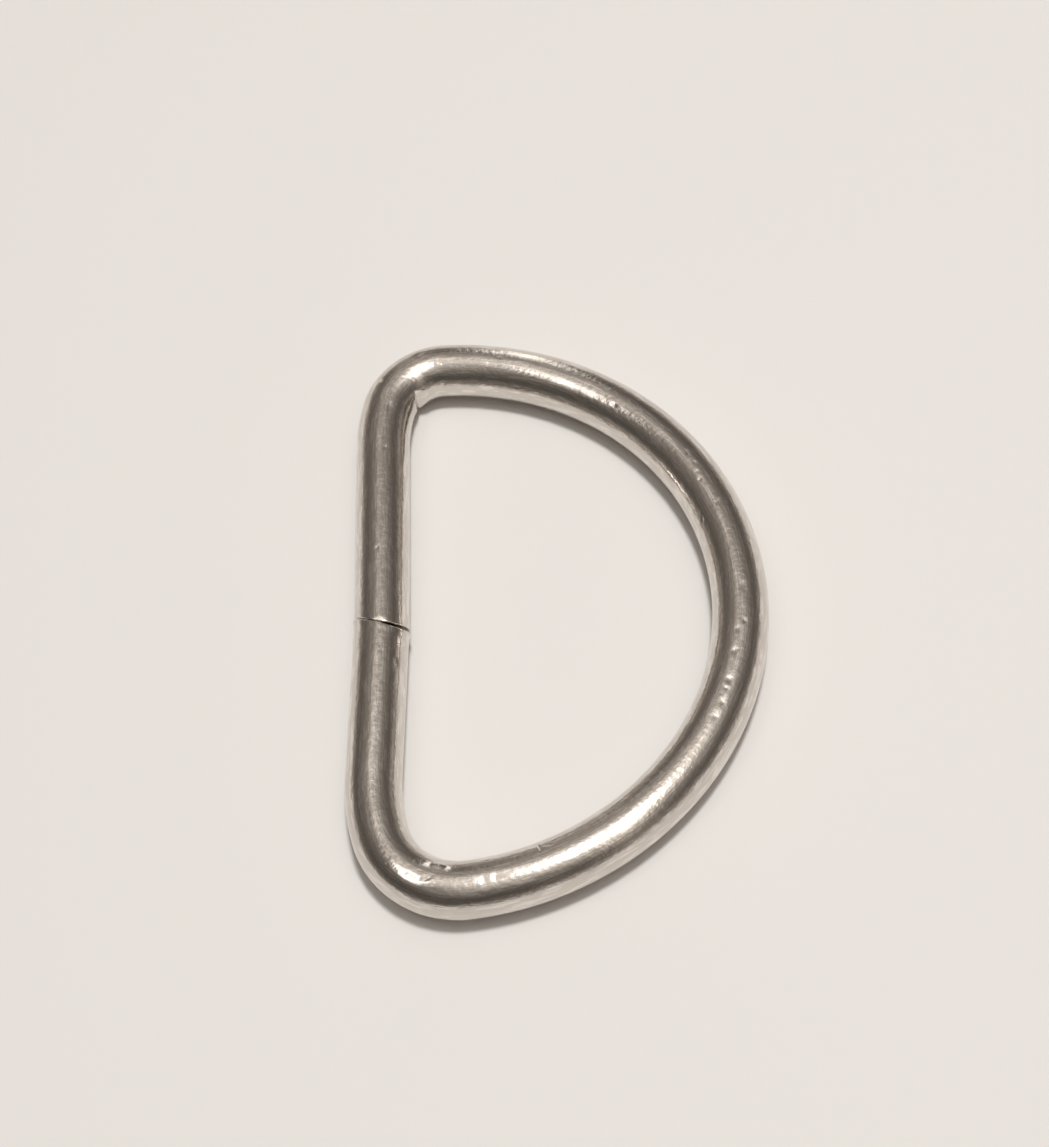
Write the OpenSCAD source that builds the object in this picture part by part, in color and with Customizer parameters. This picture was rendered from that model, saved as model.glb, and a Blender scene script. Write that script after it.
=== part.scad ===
// D-ring: one length of round steel wire, bent into a D and closed by a butt joint
// in the middle of its straight bar. It lies flat on Z = 0, with the bar along Y and
// the bow towards +X. The origin is under the middle of the ring's outer box.

/* [Wire] */
// Diameter of the round wire
wire_d = 4; // [3:0.25:5]

/* [Outline] */
// Clear length inside the D, along the bar, which is the strap's room
inside_len = 39; // [34:0.5:50]
// Clear depth inside the D, from the bar at its joint to the crown of the bow
inside_depth = 21.75; // [19:0.25:28]
// How far the crown lies from the middle of the clear length, towards the lower corner
crown_shift = 0.45; // [0:0.05:1]

/* [Corners] */
// Inside radius of the upper corner, the tighter of the two
upper_corner_r = 2.35; // [1.5:0.05:4]
// Inside radius of the lower corner
lower_corner_r = 3.85; // [2:0.05:5]
// Inside radius of the gentle bend that leads from the bar into each corner
lead_in_r = 13; // [9:0.5:18]
// Turn of the upper lead-in bend, in degrees
upper_lead_turn = 13; // [6:0.5:18]
// Turn of the lower lead-in bend, in degrees
lower_lead_turn = 17.5; // [8:0.5:22]

/* [Bar and butt joint] */
// Angle between the bar's two halves, which the closing press pushed in at the joint
bar_kink = 2.2; // [0:0.1:3]
// Angle by which the bar runs out of square with the bow
bar_skew = 2.1; // [0:0.1:3]
// Distance of the joint from the crown's axis, along the bar
joint_shift = -0.1; // [-2:0.1:2]
// Gap between the wire's ends at their ridges
joint_gap = 0.12; // [0.06:0.02:0.4]
// Slope of each end away from its ridge, in degrees, as the cutting pliers left it
pinch_slope = 4; // [1:0.5:8]
// Turn of the cut seen from above, in degrees
cut_turn = 15.5; // [0:0.5:25]
// Rake of the cut through the wire's thickness, in degrees
cut_rake = 18.5; // [0:0.5:25]

/* [Bending crease] */
// Depth of the crease that the former's edge pressed into the upper corner's inside
crease_depth = 0.3; // [0.1:0.05:0.5]
// Where the crease is, as an angle about the corner's centre from square to the bar
crease_at = 35; // [25:1:45]

/* [Hidden] */

$fn = 72;
wire_r = wire_d / 2;

// The bow's own frame has the joint on x = 0 and the crown at (depth, 0). The upper
// half of the D is worked out there directly, and the lower half mirrored, so both
// have y > 0 and one set of functions.
depth = inside_depth + wire_d;
upper_h = (inside_len + wire_d) / 2 + crown_shift;
lower_h = (inside_len + wire_d) / 2 - crown_shift;
lead_r = lead_in_r + wire_r;
// Each half of the bar is a bend too, of so large a radius that it is straight to the eye
bar_r = 4000;
function flipped(p) = [p[0], -p[1]];

// A bend covers the stretch between two polar angles about its own centre. Where two
// bends touch, both centres and the touching point lie on one line at one angle.
// Worked-out angles and radii are kept to a thousandth of a degree and a tenth of a
// micron, and every centre is then measured from the crown with these kept values, so
// that neighbouring bends share one end face.
function toward(angle) = [cos(angle), sin(angle)];
function kept(x, digits) = round(x * pow(10, digits)) / pow(10, digits);

// The corner's centre, if the corner bend just reaches the half's height h and the bar
// passes through the joint at [0, joint_y]
function corner_target(h, bend_r, corner_end, lead_end, joint_y) =
    let (
        from_bar_c = (bar_r - lead_r) * toward(lead_end) + (lead_r - bend_r) * toward(corner_end),
        corner_y = h - bend_r,
        rise = corner_y - from_bar_c[1] - joint_y
    )
    [sqrt(bar_r * bar_r - rise * rise) + from_bar_c[0], corner_y];

// The circle through the crown that the corner bend touches from inside
function bow_radius(corner, bend_r) =
    let (run = depth - corner[0])
    (run * run + corner[1] * corner[1] - bend_r * bend_r) / (2 * (run - bend_r));

// One half: [bend radius, bow radius, angles where bow, corner and lead-in end]
function half_of(h, corner_r, lead_turn, lean, joint_y) =
    let (
        bend_r = corner_r + wire_r,
        lead_end = 180 + lean,
        corner_end = lead_end - lead_turn,
        corner = corner_target(h, bend_r, corner_end, lead_end, joint_y),
        bow_r = kept(bow_radius(corner, bend_r), 4),
        bow_end = kept(atan2(corner[1], corner[0] - depth + bow_r), 3)
    )
    [bend_r, bow_r, bow_end, corner_end, lead_end];

upper = half_of(upper_h, upper_corner_r, upper_lead_turn, bar_kink / 2 - bar_skew, joint_shift);
lower = half_of(lower_h, lower_corner_r, lower_lead_turn, bar_kink / 2 + bar_skew, -joint_shift);

function bend_r(half) = half[0];
function bow_r(half) = half[1];
function bow_end(half) = half[2];
function corner_end(half) = half[3];
function lead_end(half) = half[4];
function bow_c(half) = [depth - bow_r(half), 0];
function corner_c(half) = bow_c(half) + (bow_r(half) - bend_r(half)) * toward(bow_end(half));
function lead_c(half) = corner_c(half) - (lead_r - bend_r(half)) * toward(corner_end(half));
function bar_c(half) = lead_c(half) - (bar_r - lead_r) * toward(lead_end(half));
function bar_top(half) = lead_c(half) + lead_r * toward(lead_end(half));

// The ring's outer box once the bar is turned parallel to Y. Each side is the outermost
// point of a bend. The top is on the upper corner, unless the skew carries it past.
function turned(p) = [p[0] * cos(bar_skew) - p[1] * sin(bar_skew), p[0] * sin(bar_skew) + p[1] * cos(bar_skew)];
box_left = min(turned(lead_c(upper))[0], turned(flipped(lead_c(lower)))[0]) - lead_r - wire_r;
box_right = turned(bow_c(lower))[0] + bow_r(lower) + wire_r;
corner_top = turned(corner_c(upper))[1] + bend_r(upper);
bow_top = turned(bow_c(upper))[1] + bow_r(upper);
box_top = (bow_end(upper) < 90 - bar_skew ? corner_top : bow_top) + wire_r;
box_bottom = turned(flipped(corner_c(lower)))[1] - bend_r(lower) - wire_r;
middle = [(box_left + box_right) / 2, (box_bottom + box_top) / 2];

// Moves to a point at the wire's height in two steps, a round one and the small rest
module at(point) {
    near = [kept(point[0], 2), kept(point[1], 2)];
    translate([near[0], near[1], wire_r])
        translate([point[0] - near[0], point[1] - near[1], 0])
            children();
}

module bend(centre, r, from, to) {
    at(centre)
        rotate_extrude(start = from, angle = to - from)
            translate([r, 0])
                circle(r = wire_r);
}

// A block that clears one wire end back to its ridge and sloping cheeks
clear_w = 2 * wire_d;
module end_clearance() {
    cheek = joint_gap / 2 + clear_w * tan(pinch_slope);
    linear_extrude(height = 2 * clear_w, center = true)
        polygon([[-clear_w, -clear_w], [clear_w, -clear_w], [clear_w, cheek], [0, joint_gap / 2], [-clear_w, cheek]]);
}

// Half of the bar, from its lead-in bend past the joint, less what the cut took off.
// side is 1 for the upper half and -1 for the lower one, which the caller mirrors.
module bar_half(half, side) {
    joint_y = side * joint_shift;
    bar_turn = kept((bar_top(half)[1] - joint_y + wire_d) / bar_r * 180 / PI, 3);
    difference() {
        bend(bar_c(half), bar_r, lead_end(half), lead_end(half) + bar_turn);
        at([0, joint_y])
            rotate([side * cut_rake, 0, -side * cut_turn])
                end_clearance();
    }
}

module half_ring(half, side) {
    bend(bow_c(half), bow_r(half), 0, bow_end(half));
    bend(corner_c(half), bend_r(half), bow_end(half), corner_end(half));
    bend(lead_c(half), lead_r, corner_end(half), lead_end(half));
    bar_half(half, side);
}

// The crease runs up and down the inside of the upper corner, with its edge towards
// the wire's centre, and fades out where the wire curves away above and below.
module crease() {
    half_diagonal = upper_corner_r / 2;
    at(corner_c(upper))
        rotate([0, 0, 180 - crease_at])
            translate([upper_corner_r + crease_depth - half_diagonal, 0, 0])
                rotate([0, 0, 45])
                    cube([half_diagonal * sqrt(2), half_diagonal * sqrt(2), wire_d], center = true);
}

module ring_wire() {
    color("silver")
        translate([-middle[0], -middle[1], 0])
            rotate([0, 0, bar_skew])
                difference() {
                    union() {
                        half_ring(upper, 1);
                        mirror([0, 1, 0])
                            half_ring(lower, -1);
                    }
                    crease();
                }
}

ring_wire();
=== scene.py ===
import math

import bpy
import numpy as np
from bpy.props import FloatProperty, FloatVectorProperty, PointerProperty
from mathutils import Matrix, Quaternion, Vector


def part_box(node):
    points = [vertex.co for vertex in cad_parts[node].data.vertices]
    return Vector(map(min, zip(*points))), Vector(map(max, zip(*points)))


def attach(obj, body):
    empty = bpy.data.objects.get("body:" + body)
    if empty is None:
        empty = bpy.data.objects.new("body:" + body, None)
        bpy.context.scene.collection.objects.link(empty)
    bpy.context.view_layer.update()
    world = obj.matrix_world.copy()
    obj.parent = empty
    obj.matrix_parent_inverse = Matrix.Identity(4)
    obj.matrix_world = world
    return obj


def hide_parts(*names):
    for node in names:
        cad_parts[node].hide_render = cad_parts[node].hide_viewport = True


bl_info = {
    "name": "Webbing D-Ring",
    "version": (1, 0, 0),
    "blender": (4, 5, 0),
    "location": "View3D > Sidebar > D-Ring",
    "description": "A D-ring bent from nickel-plated wire, and the pale table it lies on",
    "category": "Object",
}

MM = 0.001
RINGS = 700
SIDES = 136

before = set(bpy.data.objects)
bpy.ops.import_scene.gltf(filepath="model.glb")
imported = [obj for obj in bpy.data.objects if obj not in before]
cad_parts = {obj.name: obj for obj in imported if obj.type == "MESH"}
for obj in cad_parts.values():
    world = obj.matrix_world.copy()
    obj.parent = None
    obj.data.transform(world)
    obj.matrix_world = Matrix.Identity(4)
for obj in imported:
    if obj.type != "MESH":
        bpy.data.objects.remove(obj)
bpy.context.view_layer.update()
WIRE_LOW, WIRE_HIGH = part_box("ring_wire")


def linear(code):
    """Linear red, green, blue and alpha of an sRGB colour written as six hex digits."""
    srgb = np.array([int(code[i : i + 2], 16) for i in (1, 3, 5)]) / 255
    flat, curved = srgb / 12.92, ((srgb + 0.055) / 1.055) ** 2.4
    return (*np.where(srgb <= 0.04045, flat, curved).tolist(), 1.0)


def millimetres(name, default, description, low=0.0):
    """A length property that is written in millimetres and kept in metres."""
    return FloatProperty(
        name=name,
        description=description,
        default=default * MM,
        min=low * MM,
        unit="LENGTH",
        subtype="DISTANCE",
        precision=5,
    )


def degrees(name, default, description):
    """An angle property that is written in degrees and kept in radians."""
    return FloatProperty(
        name=name, description=description, default=math.radians(default), subtype="ANGLE"
    )


def colour(name, code, description):
    """A colour property from an sRGB hex code."""
    return FloatVectorProperty(
        name=name, description=description, default=linear(code), size=4, subtype="COLOR", min=0, max=1
    )


class WireProperties(bpy.types.PropertyGroup):
    """Sizes of the bent wire."""

    diameter: FloatProperty(
        name="Wire diameter",
        description="Diameter of the round wire, which is the ring's thickness",
        default=WIRE_HIGH.z - WIRE_LOW.z,
        unit="LENGTH",
        subtype="DISTANCE",
    )
    inside_length: millimetres("Inside length", 39, "Clear length along the bar")
    inside_depth: millimetres("Inside depth", 21.75, "Clear depth from the bar's joint to the crown")
    crown_shift: millimetres("Crown shift", 0.45, "Distance of the crown from the clear length's middle")
    upper_corner: millimetres("Upper corner", 2.35, "Inside radius of the tighter corner")
    lower_corner: millimetres("Lower corner", 3.85, "Inside radius of the rounder corner")
    lead_in: millimetres("Lead-in", 13, "Inside radius of the gentle bend before each corner")
    bar_radius: millimetres("Bar radius", 4000, "Radius of the bar's halves, straight to the eye")
    upper_turn: degrees("Upper lead-in turn", 13, "Turn of the gentle bend before the upper corner")
    lower_turn: degrees("Lower lead-in turn", 17.5, "Turn of the gentle bend before the lower corner")
    kink: degrees("Bar kink", 2.2, "Angle between the bar's halves at the joint")
    skew: degrees("Bar skew", 2.1, "Angle by which the bar runs out of square with the bow")
    joint_shift: millimetres("Joint shift", -0.1, "Distance of the joint from the crown's axis", low=-5)


class JointProperties(bpy.types.PropertyGroup):
    """The cut ends of the wire and the crease in the corner."""

    gap: millimetres("Gap", 0.03, "Gap between the ends at their ridges")
    slope: degrees("Pinch slope", 3, "Slope of each end away from its ridge")
    turn: degrees("Cut turn", 15.5, "Turn of the cut seen from above")
    rake: degrees("Cut rake", 18.5, "Rake of the cut through the wire's thickness")
    lip: millimetres("Lip", 0.1, "Rounding of the ends' rims")
    burr: millimetres("Burr", 0.12, "How far the lower end is swaged out at its sides")
    crease_depth: millimetres("Crease depth", 0.42, "Depth of the crease inside the upper corner")
    crease_at: degrees("Crease angle", 43, "Angle of the crease about the corner's centre")


class PlatingProperties(bpy.types.PropertyGroup):
    """Finish of the plated wire."""

    nickel: colour("Nickel", "#eae4de", "Reflection colour of the nickel plating")
    worn: colour("Worn nickel", "#c4bdb5", "Duller nickel between the drawing lines")
    roughness: FloatProperty(name="Roughness", description="Roughness of clean plating", default=0.115, min=0, max=1)


class StageProperties(bpy.types.PropertyGroup):
    """Table, lamps and camera."""

    table: colour("Table", "#e9e7e5", "Colour of the matt table top")
    azimuth: degrees("Azimuth", 9.67, "Turn of the camera about the ring")
    elevation: degrees("Elevation", 58.78, "Height angle of the camera")
    roll: degrees("Roll", -11.64, "Roll of the camera")
    distance: millimetres("Distance", 162.35, "Distance from the camera to the aimed point")
    aim: FloatVectorProperty(
        name="Aim",
        description="Point on the table at the middle of the view",
        default=(-2.57 * MM, 4.14 * MM, 0),
        subtype="TRANSLATION",
        unit="LENGTH",
    )
    lens: FloatProperty(name="Lens", description="Focal length on a 36 mm sensor", default=69.29)


def toward(angle):
    """Unit vector at a polar angle, for one angle or an array of them."""
    return np.stack([np.cos(angle), np.sin(angle)], -1)


def half_of(wire, height, corner_radius, lead_turn, lean, joint_y):
    """Bends of one half of the D, from the crown to the joint, as rows of centre, radius, first and last polar angle.
    Each bend touches the next, so their centres and the touching point lie on one line. The corner bend just reaches
    the half's height, the bar passes through the joint, and the bow is the circle through the crown that the corner
    bend touches from inside."""
    r = wire.diameter / 2
    bend_r, lead_r, bar_r = corner_radius + r, wire.lead_in + r, wire.bar_radius
    depth = wire.inside_depth + wire.diameter
    lead_end = math.pi + lean
    corner_end = lead_end - lead_turn
    from_bar = (bar_r - lead_r) * toward(lead_end) + (lead_r - bend_r) * toward(corner_end)
    corner_y = height - bend_r
    rise = corner_y - from_bar[1] - joint_y
    corner = np.array([math.sqrt(bar_r**2 - rise**2) + from_bar[0], corner_y])
    run = depth - corner[0]
    bow_r = (run**2 + corner[1] ** 2 - bend_r**2) / (2 * (run - bend_r))
    bow = np.array([depth - bow_r, 0])
    bow_end = math.atan2(corner[1], corner[0] - bow[0])
    lead = corner - (lead_r - bend_r) * toward(corner_end)
    bar = lead - (bar_r - lead_r) * toward(lead_end)
    bar_end = math.pi - math.asin((joint_y - bar[1]) / bar_r)
    return [
        (bow, bow_r, 0.0, bow_end),
        (corner, bend_r, bow_end, corner_end),
        (lead, lead_r, corner_end, lead_end),
        (bar, bar_r, lead_end, bar_end),
    ]


def along_half(bends, distance):
    """Polar angle, centre and radius at each distance from the crown: the distance is spent on one bend after another."""
    lengths = np.array([r * (b - a) for _, r, a, b in bends])
    starts = np.r_[0, np.cumsum(lengths)[:-1]]
    which = np.clip(np.searchsorted(starts, distance, side="right") - 1, 0, len(bends) - 1)
    radius = np.array([b[1] for b in bends])[which]
    centre = np.array([b[0] for b in bends])[which]
    angle = np.array([b[2] for b in bends])[which] + (distance - starts[which]) / radius
    return angle, centre, radius


class CentreLine:
    """The wire's centre line from its upper end round the crown to its lower end, in the ring's own frame."""

    def __init__(self, wire):
        half = (wire.inside_length + wire.diameter) / 2
        self.wire = wire
        self.upper = half_of(
            wire, half + wire.crown_shift, wire.upper_corner, wire.upper_turn,
            wire.kink / 2 - wire.skew, wire.joint_shift,
        )
        self.lower = half_of(
            wire, half - wire.crown_shift, wire.lower_corner, wire.lower_turn,
            wire.kink / 2 + wire.skew, -wire.joint_shift,
        )
        self.upper_length = sum(r * (b - a) for _, r, a, b in self.upper)
        self.lower_length = sum(r * (b - a) for _, r, a, b in self.lower)
        self.length = self.upper_length + self.lower_length
        cos, sin = math.cos(wire.skew), math.sin(wire.skew)
        self.turn = np.array([[cos, -sin], [sin, cos]])
        self.middle = self.box_middle()

    def box_middle(self):
        """Middle of the ring's outer box: each side is the outermost point of a bend."""
        r = self.wire.diameter / 2
        flip = np.array([1, -1])
        upper = [self.turn @ c for c, _, _, _ in self.upper]
        lower = [self.turn @ (c * flip) for c, _, _, _ in self.lower]
        left = min(upper[2][0], lower[2][0]) - self.upper[2][1] - r
        right = lower[0][0] + self.lower[0][1] + r
        top_bend = 1 if self.upper[0][3] < math.pi / 2 - self.wire.skew else 0
        top = upper[top_bend][1] + self.upper[top_bend][1] + r
        bottom = lower[1][1] - self.lower[1][1] - r
        return np.array([(left + right) / 2, (bottom + top) / 2])

    def placed(self, points):
        """Points of the bow's own frame, turned and moved to the ring's frame."""
        return points @ self.turn.T - self.middle

    def at(self, distance):
        """Centre point, outward normal and forward direction at each distance from the upper end."""
        from_crown = distance - self.upper_length
        a, c, r = along_half(self.upper, np.maximum(-from_crown, 0))
        b, d, q = along_half(self.lower, np.maximum(from_crown, 0))
        lower = (from_crown > 0)[:, None]
        flip = np.array([1, -1])
        point = np.where(lower, (d + q[:, None] * toward(b)) * flip, c + r[:, None] * toward(a))
        normal = np.where(lower, toward(b) * flip, toward(a))
        normal = normal @ self.turn.T
        forward = np.stack([normal[:, 1], -normal[:, 0]], -1)
        return self.placed(point), normal, forward


def stations(length, lip, count):
    """Distances of the wire's rings from its upper end: close together at the rims, evenly spread over the bends, and
    closer in the bar's joint and at each mark, where the density is a bell on top of the even one."""
    rim = lip * (1 - np.cos(np.linspace(0, math.pi / 2, 9)[:-1]))
    fine = np.linspace(lip, length - lip, 8000)
    places = np.array([mark[0] * MM for mark in MARKS])
    density = 1 + 4 * np.exp(-(((fine[:, None] - places) / (0.6 * MM)) ** 2)).sum(1)
    density += 3 * np.exp(-np.minimum(fine, length - fine) / (2 * MM))
    total = np.cumsum(density)
    even = np.linspace(total[0], total[-1], count - 2 * len(rim))
    return np.r_[rim, np.interp(even, total, fine), length - rim[::-1]]


def cut_offset(joint, side, out, up):
    """How far each end's cut lies from the joint's middle, along the bar, for points at the given distances outward and
    upward from the wire's centre. The cut is two sloping cheeks that meet in a ridge, turned and raked."""
    turn = Matrix.Rotation(-side * joint.turn, 3, "Z") @ Matrix.Rotation(side * joint.rake, 3, "X")
    across, ahead, _ = (np.array(v) for v in turn.transposed())
    along = np.zeros_like(out)
    for _ in range(3):
        aside = -out * across[0] + along * across[1] + up * across[2]
        along = (joint.gap / 2 + np.abs(aside) * math.tan(joint.slope) + out * ahead[0] - up * ahead[2]) / ahead[1]
    return along


def smooth(x):
    """Goes from 0 to 1 with level ends as x goes from 0 to 1."""
    x = np.clip(x, 0, 1)
    return x * x * (3 - 2 * x)


# Marks that tools and use left in the plating: distance from the upper end in mm, angle round the wire (0 outward,
# 90 up), length and width in mm, heading from the wire's run in degrees, and depth in mm, below 0 where metal is raised.
MARKS = (
    (0.0, 93, 0.45, 0.85, 0, 0.055),
    (5.4, 88, 0.35, 0.30, 0, 0.03),
    (14.2, 104, 0.40, 0.20, 10, 0.03),
    (18.0, 105, 0.90, 0.25, 0, 0.04),
    (20.2, 54, 0.80, 0.18, -72, 0.08),
    (23.15, 70, 0.50, 0.45, 0, 0.05),
    (29.2, 88, 0.50, 0.32, 0, 0.03),
    (39.4, 108, 0.40, 0.25, 0, 0.03),
    (46.5, 84, 0.45, 0.35, 0, 0.03),
    (47.5, 85, 0.30, 0.20, 0, 0.03),
    (48.3, 92, 0.35, 0.25, 0, 0.02),
    (49.0, 98, 0.30, 0.20, 0, 0.03),
    (51.3, 87, 0.50, 0.25, 40, 0.03),
    (52.0, 134, 0.50, 0.15, 20, 0.04),
    (58.5, 84, 0.70, 0.40, 0, 0.03),
    (61.3, 79, 0.40, 0.25, 0, 0.03),
    (62.0, 91, 0.50, 0.35, 0, 0.025),
    (63.75, 91, 0.50, 0.40, 0, 0.035),
    (66.0, 85, 0.60, 0.45, 0, 0.04),
    (66.7, 85, 0.30, 0.40, 0, 0.02),
    (67.8, 82, 0.60, 0.35, 0, 0.03),
    (69.0, 82, 0.60, 0.35, 0, 0.03),
    (84.0, 118, 0.90, 0.15, 20, 0.04),
    (84.6, 122, 0.70, 0.18, 90, 0.09),
    (88.0, 83, 0.75, 0.55, 0, 0.03),
    (88.8, 83, 0.75, 0.55, 0, 0.03),
    (92.1, 118, 1.00, 0.60, -8, -0.11),
    (92.6, 83, 0.70, 0.30, -35, 0.035),
    (93.7, 76, 1.10, 0.45, 0, 0.035),
    (110.8, 136, 1.00, 0.50, 0, 0.035),
)


def dent_depth(distance, around, radius):
    """Depth of the marks at each distance along and angle round the wire. A mark is a bell along and across its own
    heading, measured on the wire's straightened surface."""
    depth = np.zeros((len(distance), len(around)))
    for place, angle, length, width, heading, deepest in MARKS:
        along = (distance - place * MM)[:, None]
        across = (radius * (around - math.radians(angle)))[None]
        run, lift = toward(math.radians(heading))
        u = (along * run + across * lift) / (length * MM / 2)
        v = (across * run - along * lift) / (width * MM / 2)
        depth += deepest * MM * np.exp(-(u**2) - v**2)
    return depth


def creased(points, centre_line, joint):
    """Pushes the inside of the upper corner back to a groove: near the crease no point is nearer to the corner's centre
    than the groove's floor, which rises evenly to both sides."""
    corner, radius, _, _ = centre_line.upper[1]
    centre = centre_line.placed(corner)
    axis = toward(math.pi - joint.crease_at + centre_line.wire.skew)
    side = np.array([-axis[1], axis[0]])
    offset = points[..., :2] - centre
    out, aside = offset @ axis, offset @ side
    inner = radius - centre_line.wire.diameter / 2
    floor = inner + joint.crease_depth - 0.8 * np.abs(aside)
    near = (out > 0) & (np.abs(aside) < joint.crease_depth / 0.8) & (out < floor)
    moved = points.copy()
    moved[..., :2] += np.where(near, floor - out, 0)[..., None] * axis
    return moved


def wire_surface(wire, joint):
    """Carries a circle along the centre line. Near each end the rings lean over into the slanted cut, their radius
    shrinks round the lip, and rings on the cut close the end towards its middle. The rings' points lie
    closer on the upper side. Returns grids of points, of the straightened wire's coordinates and of the direction round
    the wire."""
    line = CentreLine(wire)
    r = wire.diameter / 2
    even = np.linspace(0, 2 * math.pi, SIDES, endpoint=False)
    around = even + 0.3 * np.cos(even)
    out, up = np.cos(around), np.sin(around)
    distance = stations(line.length, joint.lip, RINGS)
    centre, normal, forward = line.at(distance)

    from_end = np.minimum(distance, line.length - distance)
    upper = (distance < line.length / 2)[:, None]
    lean = 1 - smooth(from_end / (4 * MM))
    cut = np.where(
        upper, cut_offset(joint, 1, r * out, r * up)[None], -cut_offset(joint, -1, r * out, r * up)[None]
    )
    slide = lean[:, None] * cut

    in_lip = np.clip(1 - from_end / joint.lip, 0, 1)
    radius = r - joint.lip * (1 - np.sqrt(1 - in_lip**2))
    flare = joint.burr * np.exp(-((from_end / (0.5 * MM)) ** 2)) * (distance > line.length / 2)
    radius = radius[:, None] + flare[:, None] * out[None] ** 2 - dent_depth(distance, around, r)

    flat = centre[:, None] + (radius * out)[..., None] * normal[:, None] + slide[..., None] * forward[:, None]
    height = r + radius * up
    points = np.concatenate([flat, height[..., None]], -1)
    points = creased(points, line, joint)

    straight = np.stack(
        [np.broadcast_to(distance[:, None], radius.shape), radius * out, radius * up], -1
    )
    level = np.broadcast_to(out[None, :, None], (len(distance), SIDES, 1))
    round_wire = np.concatenate([-up[None, :, None] * normal[:, None], level], -1)
    caps = []
    shrink = np.array([0.94, 0.85, 0.7, 0.5, 0.3, 0.12])[:, None]
    for side, row in ((1, 0), (-1, -1)):
        rim = radius[row]
        share = rim * shrink
        cut = side * cut_offset(joint, side, share * out, share * up)
        ring = centre[row] + (share * out)[..., None] * normal[row] + cut[..., None] * forward[row]
        ring = np.concatenate([ring, (r + share * up)[..., None]], -1)
        place = np.stack([np.full_like(share * out, distance[row]), share * out, share * up], -1)
        caps.append((ring, place, np.repeat(round_wire[[row]], len(shrink), 0)))
    before, after = caps
    return tuple(np.concatenate([a[::-1], b, c]) for a, b, c in zip(before, (points, straight, round_wire), after))


def closed_tube(name, points, fields):
    """A mesh of quads between neighbouring rings, with a fan at each end to the mean of its smallest ring. Fields are
    grids of vectors, kept as attributes of the points by name."""
    rows, sides = points.shape[:2]
    index = np.arange(rows * sides).reshape(rows, sides)
    a, b = index[:-1], index[1:]
    quads = np.stack([a, np.roll(a, -1, 1), np.roll(b, -1, 1), b], -1).reshape(-1, 4)
    first, last = rows * sides, rows * sides + 1
    start = np.stack([np.roll(index[0], -1), index[0], np.full(sides, first)], -1)
    end = np.stack([index[-1], np.roll(index[-1], -1), np.full(sides, last)], -1)
    places = np.r_[points.reshape(-1, 3), points[:1].mean(1), points[-1:].mean(1)]
    mesh = bpy.data.meshes.new(name)
    mesh.from_pydata(places, [], quads.tolist() + start.tolist() + end.tolist())
    for field, grid in fields.items():
        values = np.r_[grid.reshape(-1, 3), grid[:1].mean(1), grid[-1:].mean(1)]
        mesh.attributes.new(field, "FLOAT_VECTOR", "POINT").data.foreach_set("vector", values.astype(np.float32).ravel())
    mesh.polygons.foreach_set("use_smooth", np.ones(len(mesh.polygons), bool))
    mesh.update()
    return mesh


def add_node(tree, kind, settings=None, links=None):
    """Adds a node of a kind to a node tree, sets its own settings and its sockets' values by name, and links each named
    socket to another node's output."""
    node = tree.nodes.new(kind)
    for key, value in (settings or {}).items():
        if key in node.inputs:
            node.inputs[key].default_value = value
        else:
            setattr(node, key, value)
    for key, output in (links or {}).items():
        tree.links.new(output, node.inputs[key])
    return node


def ramp(tree, value, *stops):
    """A colour ramp with stops of position and grey level or colour."""
    node = add_node(tree, "ShaderNodeValToRGB", links={"Fac": value})
    elements = node.color_ramp.elements
    while len(elements) < len(stops):
        elements.new(1)
    for element, (position, level) in zip(elements, stops):
        element.position = position
        element.color = level if isinstance(level, tuple) else (level, level, level, 1)
    return node.outputs["Color"]


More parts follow.
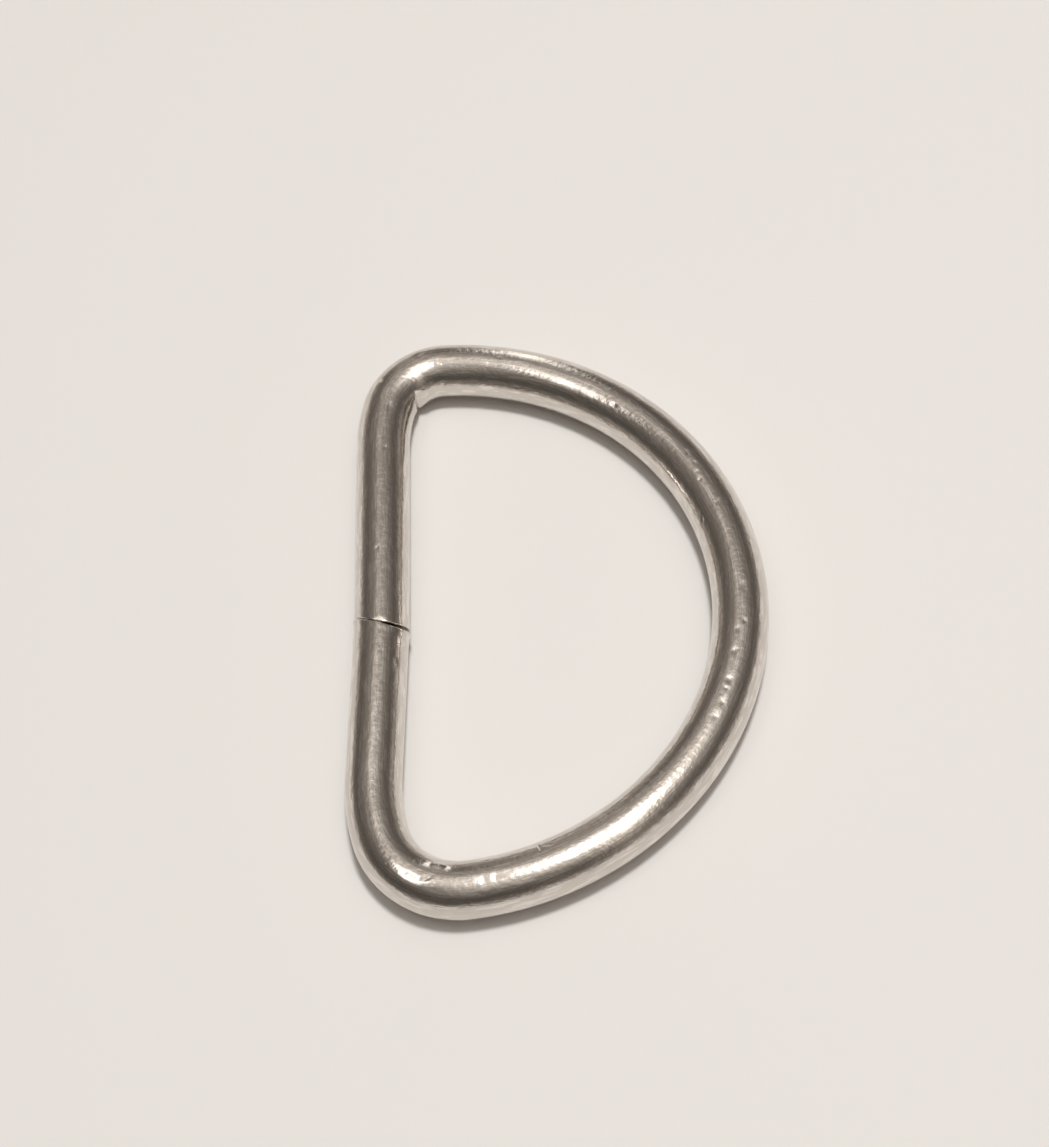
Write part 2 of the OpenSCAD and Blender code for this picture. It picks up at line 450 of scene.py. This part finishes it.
def nickel_plated_steel(plating):
    """Nickel-plated drawn steel wire. Drawing leaves fine lines along the wire, the bright plating over them mirrors its
    surroundings a little softly, and barrel work leaves pits and fine scratches."""
    material = bpy.data.materials.new("nickel_plated_drawn_steel")
    material.use_nodes = True
    tree = material.node_tree
    tree.nodes.clear()
    wire = add_node(tree, "ShaderNodeAttribute", {"attribute_name": "straight_wire"}).outputs["Vector"]

    # drawing lines: 0.1 mm across and some 2 mm long
    lines = add_node(tree, "ShaderNodeMapping", {"Scale": (500, 9000, 9000)}, {"Vector": wire}).outputs["Vector"]
    drawn = add_node(
        tree, "ShaderNodeTexNoise", {"Scale": 1.0, "Detail": 3, "Roughness": 0.6}, {"Vector": lines}
    ).outputs["Fac"]
    # uneven plating: patches about 1.5 mm long and 0.4 mm wide
    patch = add_node(tree, "ShaderNodeMapping", {"Scale": (700, 2400, 2400)}, {"Vector": wire}).outputs["Vector"]
    uneven = add_node(
        tree, "ShaderNodeTexNoise", {"Scale": 1.0, "Detail": 4, "Roughness": 0.6}, {"Vector": patch}
    ).outputs["Fac"]
    # dimples where the barrel's other rings knocked it: 0.4 mm across
    dimples = add_node(
        tree, "ShaderNodeTexNoise", {"Scale": 2600, "Detail": 2, "Roughness": 0.5}, {"Vector": wire}
    ).outputs["Fac"]
    # pits: dots of 0.05 to 0.15 mm, some 0.5 mm apart
    spots = add_node(tree, "ShaderNodeTexVoronoi", {"Scale": 2000}, {"Vector": wire}).outputs["Distance"]
    pits = ramp(tree, spots, (0.0, 1.0), (0.1, 0.3), (0.2, 0.0))

    both = add_node(
        tree, "ShaderNodeMath", {"operation": "MULTIPLY_ADD"}, {0: drawn, 2: uneven}
    )
    both.inputs[1].default_value = 1.0
    tone = add_node(
        tree, "ShaderNodeMix", {"data_type": "RGBA"}, {"Factor": ramp(tree, both.outputs["Value"], (0.85, 0.0), (1.2, 0.6))}
    )
    tone.inputs["A"].default_value = plating.nickel
    tone.inputs["B"].default_value = plating.worn
    rough = add_node(
        tree, "ShaderNodeMapRange",
        {"From Min": 0.3, "From Max": 0.7, "To Min": plating.roughness * 0.7, "To Max": plating.roughness * 1.4},
        {"Value": uneven},
    ).outputs["Result"]
    fine = add_node(tree, "ShaderNodeBump", {"Strength": 1.0, "Distance": 0.000003}, {"Height": drawn})
    wavy = add_node(
        tree, "ShaderNodeBump", {"Strength": 1.0, "Distance": 0.000014}, {"Height": uneven, "Normal": fine.outputs["Normal"]}
    )
    knocked = add_node(
        tree, "ShaderNodeBump", {"Strength": 1.0, "Distance": 0.000016},
        {"Height": dimples, "Normal": wavy.outputs["Normal"]},
    )
    pitted = add_node(
        tree, "ShaderNodeBump", {"Strength": 0.5, "Distance": 0.00001, "invert": True},
        {"Height": pits, "Normal": knocked.outputs["Normal"]},
    )
    # drawing lines blur what the wire mirrors more round it than along it
    round_wire = add_node(tree, "ShaderNodeAttribute", {"attribute_name": "round_wire"}).outputs["Vector"]
    across = add_node(
        tree, "ShaderNodeVectorTransform", {"vector_type": "VECTOR", "convert_from": "OBJECT", "convert_to": "WORLD"},
        {"Vector": round_wire},
    ).outputs["Vector"]
    shader = add_node(
        tree, "ShaderNodeBsdfPrincipled", {"Metallic": 1.0, "Anisotropic": 0.6},
        {
            "Base Color": tone.outputs["Result"], "Roughness": rough, "Normal": pitted.outputs["Normal"],
            "Tangent": across,
        },
    )
    add_node(tree, "ShaderNodeOutputMaterial", links={"Surface": shader.outputs["BSDF"]})
    return material


def matt_table(stage):
    """Matt laminate table top: plain, pale and nearly even, so that only the ring's soft shadow shows on it."""
    material = bpy.data.materials.new("matt_laminate")
    material.use_nodes = True
    tree = material.node_tree
    shader = tree.nodes["Principled BSDF"]
    shader.inputs["Base Color"].default_value = stage.table
    shader.inputs["Roughness"].default_value = 0.6
    shader.inputs["Specular IOR Level"].default_value = 0.2
    return material


def facing(azimuth, elevation, turn=0.0):
    """Turn that points +Z at an azimuth and elevation, with +Y uphill, after a turn about that line, in degrees."""
    a, e = math.radians(azimuth), math.radians(elevation)
    back = Vector((math.cos(a) * math.cos(e), math.sin(a) * math.cos(e), math.sin(e)))
    return back.to_track_quat("Z", "Y") @ Quaternion((0, 0, 1), math.radians(turn))


def soft_box(name, azimuth, elevation, spread, radiance, tint, distance=0.6):
    """A round lamp that faces the ring. Spread is its width as seen from the ring, in degrees, and radiance its
    brightness in a mirror. The lamp's power is that brightness times its area and pi."""
    turn = facing(azimuth, elevation)
    width = 2 * distance * math.tan(math.radians(spread) / 2)
    data = bpy.data.lights.new(name, "AREA")
    data.shape = "DISK"
    data.size = width
    data.color = linear(tint)[:3]
    data.energy = radiance * width**2 * math.pi / 4 * math.pi
    lamp = bpy.data.objects.new(name, data)
    lamp.rotation_mode = "QUATERNION"
    lamp.rotation_quaternion = turn
    lamp.location = turn @ Vector((0, 0, distance))
    lamp.visible_camera = False
    bpy.context.scene.collection.objects.link(lamp)
    return lamp


def glow(tree, direction, aim, spread, turn, level):
    """Level of an oval glow in the room. In the frame that faces its aim, x and y are divided by the sines of its
    spreads, and the level falls as e to the minus of x squared plus y squared."""
    face = facing(*aim, turn).to_euler()
    scale = (math.sin(math.radians(spread[0])), math.sin(math.radians(spread[1])), 1000)
    place = add_node(
        tree, "ShaderNodeMapping", {"vector_type": "TEXTURE", "Rotation": face, "Scale": scale}, {"Vector": direction}
    ).outputs["Vector"]
    square = add_node(tree, "ShaderNodeVectorMath", {"operation": "DOT_PRODUCT"}, {0: place, 1: place}).outputs["Value"]
    fall = add_node(tree, "ShaderNodeMath", {"operation": "MULTIPLY"}, {0: square})
    fall.inputs[1].default_value = -1
    bell = add_node(tree, "ShaderNodeMath", {"operation": "EXPONENT"}, {0: fall.outputs["Value"]})
    scaled = add_node(tree, "ShaderNodeMath", {"operation": "MULTIPLY"}, {0: bell.outputs["Value"]})
    scaled.inputs[1].default_value = level
    return scaled.outputs["Value"]


def product(tree, kind, first, second, third=None):
    """First times second, plus third where there is one."""
    operation = "MULTIPLY" if third is None else "MULTIPLY_ADD"
    node = add_node(tree, kind, {"operation": operation})
    for socket, value in zip(node.inputs, (first, second, third)):
        if isinstance(value, bpy.types.NodeSocket):
            tree.links.new(value, socket)
        elif value is not None:
            socket.default_value = value
    return node.outputs[0]


# Glows of the dim room as the ring mirrors them: azimuth and elevation, two spreads and turn in degrees, level, tint.
GLOWS = (
    ((39, 80.4), (19, 19), 0, 1.12, "#fffaf4"),
    ((178.6, 67.7), (12, 5.2), -30, 2.3, "#fffaf4"),
    ((87.9, 19), (3.8, 16), -3, 1.7, "#fffaf4"),
    ((-38.3, 43.5), (10.5, 50.5), -8, 0.17, "#ffeede"),
    ((-3.8, 74.2), (4.8, 24), -48, 1.4, "#fff8ef"),
    ((108.4, 28), (6.8, 36.4), 6, 0.23, "#fff3e7"),
    ((-70.2, 69.7), (23, 18), -2, 0.32, "#fff8ef"),
)


class DRING_OT_bend_wire(bpy.types.Operator):
    """Make the bent wire with its cut ends, crease and marks"""

    bl_idname = "dring.bend_wire"
    bl_label = "Bend Wire"

    def execute(self, context):
        scene = context.scene
        points, straight, round_wire = wire_surface(scene.dring_wire, scene.dring_joint)
        mesh = closed_tube("bent_wire", points, {"straight_wire": straight, "round_wire": round_wire})
        mesh.materials.append(nickel_plated_steel(scene.dring_plating))
        piece = bpy.data.objects.new("bent_wire", mesh)
        scene.collection.objects.link(piece)
        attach(piece, "root")
        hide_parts("ring_wire")
        return {"FINISHED"}


class DRING_OT_set_stage(bpy.types.Operator):
    """Lay the table under the ring, and set the lamps, the surroundings and the camera"""

    bl_idname = "dring.set_stage"
    bl_label = "Set Stage"

    def execute(self, context):
        scene = context.scene
        stage = scene.dring_stage
        half = 0.45
        mesh = bpy.data.meshes.new("table_top")
        mesh.from_pydata([(-half, -half, 0), (half, -half, 0), (half, half, 0), (-half, half, 0)], [], [(0, 1, 2, 3)])
        mesh.materials.append(matt_table(stage))
        table = bpy.data.objects.new("table_top", mesh)
        scene.collection.objects.link(table)

        soft_box("overhead_lamp", 32, 82.5, 9, 88, "#fffefc")
        self.set_surroundings(scene)
        self.set_camera(scene, stage)
        scene.view_settings.view_transform = "Standard"
        return {"FINISHED"}

    def set_surroundings(self, scene):
        """A dim room that is darkest a little above the horizon, and darker on the side the camera looks from."""
        world = bpy.data.worlds.new("dim_room")
        world.use_nodes = True
        tree = world.node_tree
        tree.nodes.clear()
        direction = add_node(tree, "ShaderNodeTexCoord").outputs["Generated"]
        height = add_node(tree, "ShaderNodeSeparateXYZ", links={"Vector": direction}).outputs["Z"]
        room = ramp(
            tree, height,
            (0.0, 0.45), (0.1, 0.33), (0.25, 0.165), (0.45, 0.12), (0.65, 0.18), (0.85, 0.22), (1.0, 0.25),
        )
        near = add_node(tree, "ShaderNodeVectorMath", {"operation": "DOT_PRODUCT"}, {0: direction})
        near.inputs[1].default_value = facing(-113, 20) @ Vector((0, 0, 1))
        shade = add_node(
            tree, "ShaderNodeMapRange",
            {"From Min": 0.0, "From Max": 0.9, "To Min": 1.0, "To Max": 0.71, "interpolation_type": "SMOOTHSTEP"},
            {"Value": near.outputs["Value"]},
        ).outputs["Result"]
        colour_of = "ShaderNodeVectorMath"
        light = product(tree, colour_of, product(tree, colour_of, room, shade), linear("#fff3e7")[:3])
        for aim, spread, turn, level, tint in GLOWS:
            light = product(tree, colour_of, glow(tree, direction, aim, spread, turn, level), linear(tint)[:3], light)
        sky = add_node(tree, "ShaderNodeBackground", links={"Color": light})
        add_node(tree, "ShaderNodeOutputWorld", links={"Surface": sky.outputs["Background"]})
        scene.world = world

    def set_camera(self, scene, stage):
        """Places the camera at the photograph's viewing angle: behind the aimed point, then rolled."""
        a, e = stage.azimuth, stage.elevation
        back = Vector((math.sin(a) * math.cos(e), -math.cos(a) * math.cos(e), math.sin(e)))
        right = Vector((0, 0, 1)).cross(back).normalized()
        up = back.cross(right)
        turned = Matrix((right, up, back)).transposed() @ Matrix.Rotation(stage.roll, 3, "Z")
        data = bpy.data.cameras.new("camera")
        data.lens, data.sensor_width, data.sensor_fit = stage.lens, 36, "AUTO"
        data.clip_start, data.clip_end = 0.005, 5
        camera = bpy.data.objects.new("camera", data)
        camera.matrix_world = Matrix.Translation(Vector(stage.aim) + back * stage.distance) @ turned.to_4x4()
        scene.collection.objects.link(camera)
        scene.camera = camera


class DRING_PT_sidebar(bpy.types.Panel):
    """Sizes and finish of the D-ring"""

    bl_label = "D-Ring"
    bl_idname = "DRING_PT_sidebar"
    bl_space_type = "VIEW_3D"
    bl_region_type = "UI"
    bl_category = "D-Ring"

    def draw(self, context):
        scene = context.scene
        for operator, groups in (
            (DRING_OT_bend_wire, (scene.dring_wire, scene.dring_joint, scene.dring_plating)),
            (DRING_OT_set_stage, (scene.dring_stage,)),
        ):
            box = self.layout.box()
            box.operator(operator.bl_idname)
            for group in groups:
                for name in group.__annotations__:
                    box.prop(group, name)


CLASSES = (
    WireProperties,
    JointProperties,
    PlatingProperties,
    StageProperties,
    DRING_OT_bend_wire,
    DRING_OT_set_stage,
    DRING_PT_sidebar,
)


def register():
    for cls in CLASSES:
        bpy.utils.register_class(cls)
    bpy.types.Scene.dring_wire = PointerProperty(type=WireProperties)
    bpy.types.Scene.dring_joint = PointerProperty(type=JointProperties)
    bpy.types.Scene.dring_plating = PointerProperty(type=PlatingProperties)
    bpy.types.Scene.dring_stage = PointerProperty(type=StageProperties)


def unregister():
    for name in ("dring_wire", "dring_joint", "dring_plating", "dring_stage"):
        delattr(bpy.types.Scene, name)
    for cls in reversed(CLASSES):
        bpy.utils.unregister_class(cls)


def main():
    register()
    bpy.ops.dring.bend_wire()
    bpy.ops.dring.set_stage()


if __name__ == "__main__":
    main()
